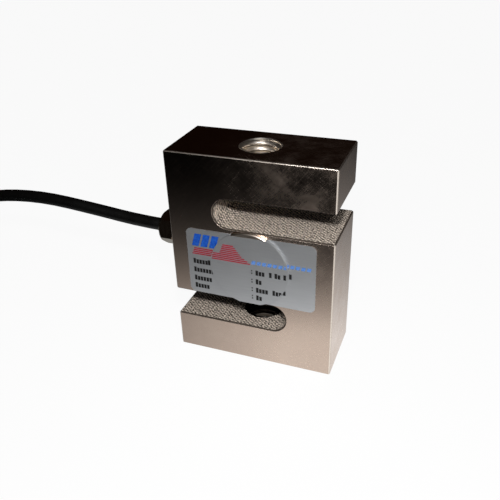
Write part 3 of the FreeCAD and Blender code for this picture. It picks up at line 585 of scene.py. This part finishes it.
def turned_steel():
    """A faced stainless disc: a warm satin grey with fine rings round its middle."""
    material, tree, place = start_material("turned stainless steel")
    low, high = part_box("rear_cover")
    centre = (low + high) / 2
    from_middle = put(tree, "ShaderNodeVectorMath", {
        0: place, 1: centre}, operation="SUBTRACT").outputs["Vector"]
    flat = put(tree, "ShaderNodeVectorMath", {0: from_middle, 1: (1.0, 0.0, 1.0)}, operation="MULTIPLY")
    radius = put(tree, "ShaderNodeVectorMath", {
        0: flat.outputs["Vector"]}, operation="LENGTH").outputs["Value"]
    rings = put(tree, "ShaderNodeTexNoise", {
        "W": radius, "Scale": 1 / (0.3 * mm), "Detail": 2.0}, noise_dimensions="1D")
    clouds = put(tree, "ShaderNodeTexNoise", {"Vector": place, "Scale": 1 / (6 * mm), "Detail": 3.0})
    colours = put(tree, "ShaderNodeMix", {
        FACTOR: clouds.outputs["Fac"], FIRST: linear("#d2c4b7"), SECOND: linear("#c3b6aa")},
        data_type="RGBA")
    satin = put(tree, "ShaderNodeMapRange", {"Value": rings.outputs["Fac"], "To Min": 0.24, "To Max": 0.38})
    bump = put(tree, "ShaderNodeBump", {
        "Height": rings.outputs["Fac"], "Strength": 0.25, "Distance": 0.03 * mm})
    finish_material(tree, {
        "Base Color": colours.outputs[MIXED], "Metallic": 1.0, "Roughness": satin.outputs["Result"],
        "Normal": bump.outputs["Normal"]})
    return material


cover_finish = turned_steel()
for name in ("front_cover", "rear_cover"):
    dress(name, cover_finish)


# ---- Label ---------------------------------------------------------------------------------------
# Satin aluminium foil, glued on and rubbed down over the disc. Its print is plain: slanted blue bars and
# red stripes at the top, a pale-blue row of dashes, and dark blocks in two columns.

FOIL_LEAN = 3.0  # how much the foil faces forwards, beside the way that its own surface faces
PRINT_CELL = 0.5  # the print is cut this fine, so that it follows the foil
INK = 0.02  # how far the ink stands off the foil
IN_FRONT = -50.0
BLUE_BARS = (-18.5, -15.7, -12.9)
BLUE_WIDTH, BLUE_FOOT, BLUE_TOP, BLUE_SLANT = 2.2, 39.2, 43.4, 1.2
STRIPE, STRIPE_PITCH = 0.38, 0.64
STRIPE_GROUPS = [  # the count, the lowest foot, and both ends there, each with its shift for one stripe up
    (4, 36.3, -18.6, 0.25, 0.6, -0.9),
    (5, 38.86, -9.0, 0.25, -2.6, -0.5),
]
DASHES, FIRST_DASH, DASH, DASH_PITCH = 11, 0.9, 1.2, 1.65
DASH_FOOT, DASH_TOP, DASH_SLANT = 36.6, 37.8, 0.3
BLOCK, BLOCK_PITCH = 0.8, 0.98
BLOCK_FOOT, BLOCK_TOP, FIRST_BLOCK_TOP = -0.8, 0.65, 0.95
DOT, DOT_FEET, DOT_HEIGHT = 0.4, (-0.5, 0.4), 0.45
ROWS = {  # a row's height, and the left end and number of blocks of each word; a word of none is two dots
    33.8: [(-18.4, 5), (-13.6, 1), (0.8, 0), (2.2, 3), (6.4, 1), (8.1, 2), (10.8, 1), (12.2, 1)],
    30.75: [(-18.4, 7), (0.8, 0), (2.2, 2)],
    27.75: [(-18.4, 6), (0.8, 0), (2.2, 4), (7.4, 4)],
    25.0: [(-18.4, 5), (0.8, 0), (2.2, 2)],
}


def satin_foil():
    """Satin aluminium foil: a grey sheen with a fine rolled grain and soft dents."""
    material, tree, place = start_material("satin aluminium foil")
    rolled = put(tree, "ShaderNodeMapping", {
        "Vector": place, "Scale": (1 / (6 * mm), 1 / mm, 1 / (0.5 * mm))})
    grain = put(tree, "ShaderNodeTexNoise", {
        "Vector": rolled.outputs["Vector"], "Scale": 1.0, "Detail": 2.0})
    dents = put(tree, "ShaderNodeTexNoise", {"Vector": place, "Scale": 1 / (6 * mm), "Detail": 1.0})
    colours = put(tree, "ShaderNodeMix", {
        FACTOR: grain.outputs["Fac"], FIRST: linear("#c9cbce"), SECOND: linear("#d3d5d7")},
        data_type="RGBA")
    sheen = put(tree, "ShaderNodeMapRange", {"Value": dents.outputs["Fac"], "To Min": 0.3, "To Max": 0.4})

    # Where the foil steps down from the disc it bridges the corner, so the step faces mostly forwards.
    facing = put(tree, "ShaderNodeNewGeometry").outputs["Normal"]
    leaned = put(tree, "ShaderNodeVectorMath", {0: facing, 1: (0.0, -FOIL_LEAN, 0.0)}, operation="ADD")
    leaned = put(tree, "ShaderNodeVectorMath", {0: leaned.outputs["Vector"]}, operation="NORMALIZE")
    bump = put(tree, "ShaderNodeBump", {
        "Height": dents.outputs["Fac"], "Strength": 0.3, "Distance": 0.15 * mm,
        "Normal": leaned.outputs["Vector"]})
    finish_material(tree, {
        "Base Color": colours.outputs[MIXED], "Metallic": 0.85, "Roughness": sheen.outputs["Result"],
        "Normal": bump.outputs["Normal"]})
    return material


def printing_ink(name, thin, full):
    """Screen ink on foil: one colour, thinner in specks where the foil shines through."""
    material, tree, place = start_material(name)
    specks = put(tree, "ShaderNodeTexNoise", {"Vector": place, "Scale": 1 / (0.5 * mm), "Detail": 3.0})
    cover = put(tree, "ShaderNodeMapRange", {
        "Value": specks.outputs["Fac"], "From Min": 0.35, "From Max": 0.6})
    colours = put(tree, "ShaderNodeMix", {
        FACTOR: cover.outputs["Result"], FIRST: linear(thin), SECOND: linear(full)}, data_type="RGBA")
    gloss = put(tree, "ShaderNodeMapRange", {"Value": specks.outputs["Fac"], "To Min": 0.5, "To Max": 0.7})
    finish_material(tree, {
        "Base Color": colours.outputs[MIXED], "Roughness": gloss.outputs["Result"], "IOR": 1.4})
    return material


def bar(left, right, low, high, slant=0.0):
    """A printed bar's corners across and up, in mm. A slant moves its top to the right."""
    return [(left, low), (right, low), (right + slant, high), (left + slant, high)]


def printed(name, shapes, material):
    """Ink that follows the foil: each shape is cut fine and laid on the foil from the front."""
    foil = BVHTree.FromObject(nodes["label"], bpy.context.evaluated_depsgraph_get())
    mesh = bmesh.new()
    for corners in shapes:
        across = max(1, math.ceil((corners[1][0] - corners[0][0]) / PRINT_CELL))
        upwards = max(1, math.ceil((corners[3][1] - corners[0][1]) / PRINT_CELL))
        grid = []
        for row in range(upwards + 1):
            up = row / upwards
            line = []
            for column in range(across + 1):
                along = column / across
                x = ((corners[0][0] * (1 - along) + corners[1][0] * along) * (1 - up)
                     + (corners[3][0] * (1 - along) + corners[2][0] * along) * up)
                z = corners[0][1] * (1 - up) + corners[3][1] * up
                hit = foil.ray_cast(Vector((x, IN_FRONT, z)) * mm, Vector((0, 1, 0)))[0]
                line.append(mesh.verts.new((x * mm, hit.y - INK * mm, z * mm)))
            grid.append(line)
        for below, above in zip(grid, grid[1:]):
            for i in range(across):
                mesh.faces.new((below[i], below[i + 1], above[i + 1], above[i]))
    sheet = finished_mesh(name, mesh)
    sheet.data.materials.append(material)
    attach(sheet, "root")


dress("label", satin_foil())

blue_bars = [bar(left, left + BLUE_WIDTH, BLUE_FOOT, BLUE_TOP, BLUE_SLANT) for left in BLUE_BARS]
red_stripes = []
for count, lowest, left, left_shift, right, right_shift in STRIPE_GROUPS:
    for stripe in range(count):
        foot = lowest + STRIPE_PITCH * stripe
        start, end = left + left_shift * stripe, right + right_shift * stripe
        red_stripes.append(bar(start, end, foot, foot + STRIPE))
pale_dashes = []
for dash in range(DASHES):
    start = FIRST_DASH + DASH_PITCH * dash
    pale_dashes.append(bar(start, start + DASH, DASH_FOOT, DASH_TOP, DASH_SLANT))
dark_blocks = []
for level, words in ROWS.items():
    for left, blocks in words:
        if blocks == 0:
            dark_blocks += [
                bar(left, left + DOT, level + foot, level + foot + DOT_HEIGHT) for foot in DOT_FEET]
        for block in range(blocks):
            start = left + BLOCK_PITCH * block
            top = FIRST_BLOCK_TOP if block == 0 else BLOCK_TOP
            dark_blocks.append(bar(start, start + BLOCK, level + BLOCK_FOOT, level + top))

INKS = [  # each ink's piece, its shapes, and its colour where it is thin and where it is full
    ("print_blue", blue_bars, "#1c58b0", "#0440a4"),
    ("print_red", red_stripes, "#a01634", "#8c0424"),
    ("print_pale_blue", pale_dashes, "#5e84bf", "#4c77bb"),
    ("print_dark", dark_blocks, "#171617", "#0a090a"),
]
for name, shapes, thin, full in INKS:
    printed(name, shapes, printing_ink(f"{name.replace('_', ' ')} ink", thin, full))


# ---- Cable gland ---------------------------------------------------------------------------------
# Hexagonal brass, bright nickel plated: a body screwed into the face, and a nut that squeezes a rubber seal
# round the cable behind a nylon slip washer. A rubber ring seals the body against the face.

def plated_brass():
    """Bright nickel on turned brass: a clean mirror with faint turning marks."""
    material, tree, place = start_material("bright nickel-plated brass")
    marks = put(tree, "ShaderNodeMapping", {
        "Vector": place, "Scale": (1 / (0.25 * mm), 1 / (4 * mm), 1 / (4 * mm))})
    rings = put(tree, "ShaderNodeTexNoise", {
        "Vector": marks.outputs["Vector"], "Scale": 1.0, "Detail": 2.0})
    clouds = put(tree, "ShaderNodeTexNoise", {"Vector": place, "Scale": 1 / (3 * mm)})
    colours = put(tree, "ShaderNodeMix", {
        FACTOR: clouds.outputs["Fac"], FIRST: linear("#d5cdbf"), SECOND: linear("#c6bca9")},
        data_type="RGBA")
    gloss = put(tree, "ShaderNodeMapRange", {"Value": rings.outputs["Fac"], "To Min": 0.14, "To Max": 0.26})
    bump = put(tree, "ShaderNodeBump", {
        "Height": rings.outputs["Fac"], "Strength": 0.15, "Distance": 0.02 * mm})
    finish_material(tree, {
        "Base Color": colours.outputs[MIXED], "Metallic": 1.0, "Roughness": gloss.outputs["Result"],
        "Normal": bump.outputs["Normal"]})
    return material


def seal_rubber():
    """Moulded nitrile rubber: matt black with a grey bloom."""
    material, tree, place = start_material("black nitrile rubber")
    bloom = put(tree, "ShaderNodeTexNoise", {"Vector": place, "Scale": 1 / (1.5 * mm), "Detail": 4.0})
    colours = put(tree, "ShaderNodeMix", {
        FACTOR: bloom.outputs["Fac"], FIRST: linear("#0e0e0e"), SECOND: linear("#242424")},
        data_type="RGBA")
    bump = put(tree, "ShaderNodeBump", {
        "Height": bloom.outputs["Fac"], "Strength": 0.3, "Distance": 0.03 * mm})
    finish_material(tree, {
        "Base Color": colours.outputs[MIXED], "Roughness": 0.7,
        "IOR": 1.52, "Normal": bump.outputs["Normal"]})
    return material


gland_plate = plated_brass()
for name in ("gland_body", "gland_nut"):
    dress(name, gland_plate)
rubber = seal_rubber()
for name in ("gland_o_ring", "gland_seal"):
    dress(name, rubber)
dress("gland_washer", moulded_nylon("natural nylon washer", "#d8d6cd", "#e4e2da"))


# ---- Sealed inside -------------------------------------------------------------------------------
# The gauges and the board on the web, their wires and the silicone that is cast round them all. Nothing of
# this shows on a closed cell, and each piece still has its own finish.

def gauge_film():
    """Polyimide backing with etched foil on it: clear amber with coppery lines."""
    material, tree, place = start_material("amber polyimide with foil")
    depth = put(tree, "ShaderNodeTexNoise", {"Vector": place, "Scale": 1 / (2 * mm), "Detail": 2.0})
    colours = put(tree, "ShaderNodeMix", {
        FACTOR: depth.outputs["Fac"], FIRST: linear("#b06a14"), SECOND: linear("#c9862a")},
        data_type="RGBA")
    gloss = put(tree, "ShaderNodeMapRange", {"Value": depth.outputs["Fac"], "To Min": 0.22, "To Max": 0.36})
    finish_material(tree, {
        "Base Color": colours.outputs[MIXED], "Roughness": gloss.outputs["Result"], "IOR": 1.6})
    return material


def board_laminate():
    """Glass cloth in epoxy under a green mask: the weave shows faintly through it."""
    material, tree, place = start_material("green glass-epoxy laminate")
    weave = []
    for axis in ("X", "Z"):
        weave.append(put(tree, "ShaderNodeTexWave", {"Vector": place, "Scale": 1 / (2.4 * mm)},
                         bands_direction=axis).outputs["Fac"])
    cloth = put(tree, "ShaderNodeMath", {0: weave[0], 1: weave[1]}, operation="MULTIPLY").outputs["Value"]
    colours = put(tree, "ShaderNodeMix", {
        FACTOR: cloth, FIRST: linear("#1e5a34"), SECOND: linear("#2f7446")}, data_type="RGBA")
    bump = put(tree, "ShaderNodeBump", {"Height": cloth, "Strength": 0.2, "Distance": 0.02 * mm})
    finish_material(tree, {
        "Base Color": colours.outputs[MIXED], "Roughness": 0.35,
        "IOR": 1.55, "Normal": bump.outputs["Normal"]})
    return material


def enamelled_copper():
    """Fine copper wire under clear enamel: a warm orange gloss."""
    material, tree, place = start_material("enamelled copper wire")
    varnish = put(tree, "ShaderNodeTexNoise", {"Vector": place, "Scale": 1 / (0.8 * mm)})
    colours = put(tree, "ShaderNodeMix", {
        FACTOR: varnish.outputs["Fac"], FIRST: linear("#a4522a"), SECOND: linear("#c06c3b")},
        data_type="RGBA")
    gloss = put(tree, "ShaderNodeMapRange", {
        "Value": varnish.outputs["Fac"], "To Min": 0.2, "To Max": 0.34})
    finish_material(tree, {
        "Base Color": colours.outputs[MIXED], "Metallic": 1.0, "Roughness": gloss.outputs["Result"]})
    return material


def cast_silicone():
    """Silicone gel, poured and cured: cloudy white with a soft gloss."""
    material, tree, place = start_material("white potting silicone")
    cloud = put(tree, "ShaderNodeTexNoise", {"Vector": place, "Scale": 1 / (4 * mm), "Detail": 3.0})
    colours = put(tree, "ShaderNodeMix", {
        FACTOR: cloud.outputs["Fac"], FIRST: linear("#c9c8c2"), SECOND: linear("#dbdad4")},
        data_type="RGBA")
    bump = put(tree, "ShaderNodeBump", {
        "Height": cloud.outputs["Fac"], "Strength": 0.2, "Distance": 0.1 * mm})
    finish_material(tree, {
        "Base Color": colours.outputs[MIXED], "Roughness": 0.3,
        "IOR": 1.41, "Normal": bump.outputs["Normal"]})
    return material


film, wire, gel = gauge_film(), enamelled_copper(), cast_silicone()
for name in ("front_gauge", "rear_gauge", "span_resistor", "zero_resistor"):
    dress(name, film)
dress("terminal_board", board_laminate())
for name in ("front_gauge_leads", "rear_gauge_leads"):
    dress(name, wire)
for name in ("front_potting", "rear_potting"):
    dress(name, gel)
for colour, finish in core_finish.items():
    dress(f"inner_core_{colour}", finish)


# ---- Bench, lamps and flags ----------------------------------------------------------------------
# White bench, small key light and strip light near the camera, and large softbox overhead; in metres.
# Reflections see a scrim on the bench, black but for a clear middle, and a dark ceiling, which darken the
# metal's upper parts. The camera sees neither, and soft light sees only the scrim, which darkens the slots.

BENCH_REACH = 3.0
BENCH_WHITENESS = 0.945  # how much of the bench is plain white to the camera; the rest keeps the shadow
SCRIM_MIDDLE = (0.035, -0.024, 0.0)
FADE_ACROSS, FADE_BEHIND, FADE_BEFORE = 0.056, 0.064, 0.02
SCRIM_CLEAR = 0.5  # how many fades from its middle the scrim stays clear
SCRIM_REACH = 2.2
SCRIM_END = 0.05  # in front of the cell, the scrim goes no further to the right
SCRIM_HEIGHT = 0.0003
CEILING_RADIUS = 2.0
PLAIN_WHITE = (1.0, 1.0, 1.0, 1.0)
DIMNESS = 0.07  # the light that the white room itself gives the object


def flat_card(name, corners):
    """A flat stage card through its corners, in metres."""
    data = bpy.data.meshes.new(name)
    data.from_pydata(corners, [], [range(len(corners))])
    card = bpy.data.objects.new(name, data)
    scene.collection.objects.link(card)
    return card


def seen_directly(tree):
    """1 for the camera and for what mirrors and glass show, and 0 for the light that falls on things."""
    rays = put(tree, "ShaderNodeLightPath").outputs
    seen = put(tree, "ShaderNodeMath", {
        0: rays["Is Camera Ray"], 1: rays["Is Glossy Ray"]}, operation="MAXIMUM").outputs["Value"]
    return put(tree, "ShaderNodeMath", {
        0: seen, 1: rays["Is Transmission Ray"]}, operation="MAXIMUM").outputs["Value"]


def white_bench():
    """A white bench: the camera and reflections see it as near white, with a pale shadow of the object."""
    material, tree, place = start_material("white bench")
    speck = put(tree, "ShaderNodeTexNoise", {"Vector": place, "Scale": 1 / (30 * mm)})
    colours = put(tree, "ShaderNodeMix", {
        FACTOR: speck.outputs["Fac"], FIRST: linear("#f2f2f1"), SECOND: linear("#f6f6f5")},
        data_type="RGBA")
    matt = put(tree, "ShaderNodeBsdfDiffuse", {"Color": colours.outputs[MIXED]})
    white = put(tree, "ShaderNodeEmission", {"Color": PLAIN_WHITE, "Strength": 1.0})
    share = put(tree, "ShaderNodeMath", {
        0: seen_directly(tree), 1: BENCH_WHITENESS}, operation="MULTIPLY")
    both = put(tree, "ShaderNodeMixShader", {
        0: share.outputs["Value"], 1: matt.outputs["BSDF"], 2: white.outputs["Emission"]})
    put(tree, "ShaderNodeOutputMaterial", {"Surface": both.outputs["Shader"]})
    return material


def graded_scrim():
    """Gauze that is clear beside the cell's right end, and fades to black before, behind and to the left."""
    material, tree, place = start_material("graded gauze")
    from_middle = put(tree, "ShaderNodeVectorMath", {0: place, 1: SCRIM_MIDDLE}, operation="SUBTRACT")
    across, along, _ = put(tree, "ShaderNodeSeparateXYZ", {"Vector": from_middle.outputs["Vector"]}).outputs
    across = put(tree, "ShaderNodeMath", {0: across, 1: FADE_ACROSS}, operation="DIVIDE").outputs["Value"]
    across = put(tree, "ShaderNodeMath", {0: across, 1: 0.0}, operation="MINIMUM").outputs["Value"]
    behind = put(tree, "ShaderNodeMath", {0: along, 1: FADE_BEHIND}, operation="DIVIDE").outputs["Value"]
    before = put(tree, "ShaderNodeMath", {0: along, 1: -FADE_BEFORE}, operation="DIVIDE").outputs["Value"]
    along = put(tree, "ShaderNodeMath", {0: behind, 1: before}, operation="MAXIMUM").outputs["Value"]
    away = put(tree, "ShaderNodeCombineXYZ", {"X": across, "Y": along}).outputs["Vector"]
    away = put(tree, "ShaderNodeVectorMath", {0: away}, operation="LENGTH").outputs["Value"]
    beyond = put(tree, "ShaderNodeMath", {0: away, 1: SCRIM_CLEAR}, operation="SUBTRACT").outputs["Value"]
    beyond = put(tree, "ShaderNodeMath", {0: beyond, 1: 0.0}, operation="MAXIMUM").outputs["Value"]
    dark = put(tree, "ShaderNodeMath", {0: 0.0, 1: beyond}, operation="SUBTRACT").outputs["Value"]
    clear = put(tree, "ShaderNodeMath", {0: dark}, operation="EXPONENT").outputs["Value"]
    black = put(tree, "ShaderNodeBsdfDiffuse", {"Color": linear("#040404")})
    gap = put(tree, "ShaderNodeBsdfTransparent")
    both = put(tree, "ShaderNodeMixShader", {0: clear, 1: black.outputs["BSDF"], 2: gap.outputs["BSDF"]})
    put(tree, "ShaderNodeOutputMaterial", {"Surface": both.outputs["Shader"]})
    return material


def dark_ceiling():
    """A dark brown ceiling, its shade painted on as a faint glow."""
    material, tree, place = start_material("dark brown ceiling")
    shade = put(tree, "ShaderNodeTexNoise", {"Vector": place, "Scale": 2.0})
    colours = put(tree, "ShaderNodeMix", {
        FACTOR: shade.outputs["Fac"], FIRST: linear("#0e0502"), SECOND: linear("#140904")},
        data_type="RGBA")
    glow = put(tree, "ShaderNodeEmission", {"Color": colours.outputs[MIXED], "Strength": 1.0})
    put(tree, "ShaderNodeOutputMaterial", {"Surface": glow.outputs["Emission"]})
    return material


bench = flat_card("bench", [
    (x * BENCH_REACH, y * BENCH_REACH, 0.0) for x, y in ((-1, -1), (1, -1), (1, 1), (-1, 1))])
bench.data.materials.append(white_bench())

scrim = flat_card("graded_scrim", [(x, y, SCRIM_HEIGHT) for x, y in (
    (-SCRIM_REACH, -SCRIM_REACH), (SCRIM_END, -SCRIM_REACH), (SCRIM_END, 0.0),
    (SCRIM_REACH, 0.0), (SCRIM_REACH, SCRIM_REACH), (-SCRIM_REACH, SCRIM_REACH))])
scrim.data.materials.append(graded_scrim())

dome = bmesh.new()
bmesh.ops.create_uvsphere(dome, u_segments=48, v_segments=24, radius=CEILING_RADIUS)
bmesh.ops.delete(dome, geom=[corner for corner in dome.verts if corner.co.z < -0.01], context="VERTS")
ceiling = finished_mesh("dark_ceiling", dome)
ceiling.data.materials.append(dark_ceiling())
for flag in (scrim, ceiling):
    flag.visible_camera = False
    flag.visible_diffuse = flag == scrim
    flag.visible_shadow = False


def softbox(name, towards, reach, wide, high, level):
    """A lamp that looks at the cell. At level 1, a white card there that faces the lamp renders white."""
    lamp = bpy.data.lights.new(name, "AREA")
    lamp.shape = "RECTANGLE"
    lamp.size, lamp.size_y = wide, high
    lamp.energy = level * math.pi ** 2 * reach ** 2
    holder = bpy.data.objects.new(name, lamp)
    target = Vector((0.0, 0.0, 34.0)) * mm
    holder.location = target + Vector(towards).normalized() * reach
    holder.rotation_euler = (target - holder.location).to_track_quat("-Z", "Y").to_euler()
    holder.visible_camera = False
    scene.collection.objects.link(holder)


softbox("key_softbox", towards=(0.261, -0.72, 0.648), reach=0.17, wide=0.008, high=0.008, level=0.62)
softbox("strip_softbox", towards=(0.22, -0.73, 0.66), reach=0.17, wide=0.09, high=0.008, level=0.4)
softbox("overhead_softbox", towards=(0.3, -0.498, 0.805), reach=0.7, wide=0.3, high=0.3, level=0.12)

world = bpy.data.worlds.new("room")
world.use_nodes = True
tree = world.node_tree
tree.nodes.clear()
dim = put(tree, "ShaderNodeBackground", {"Color": PLAIN_WHITE, "Strength": DIMNESS})
bright = put(tree, "ShaderNodeBackground", {"Color": PLAIN_WHITE, "Strength": 1.0})
room = put(tree, "ShaderNodeMixShader", {
    0: seen_directly(tree), 1: dim.outputs["Background"], 2: bright.outputs["Background"]})
put(tree, "ShaderNodeOutputWorld", {"Surface": room.outputs["Shader"]})
scene.world = world
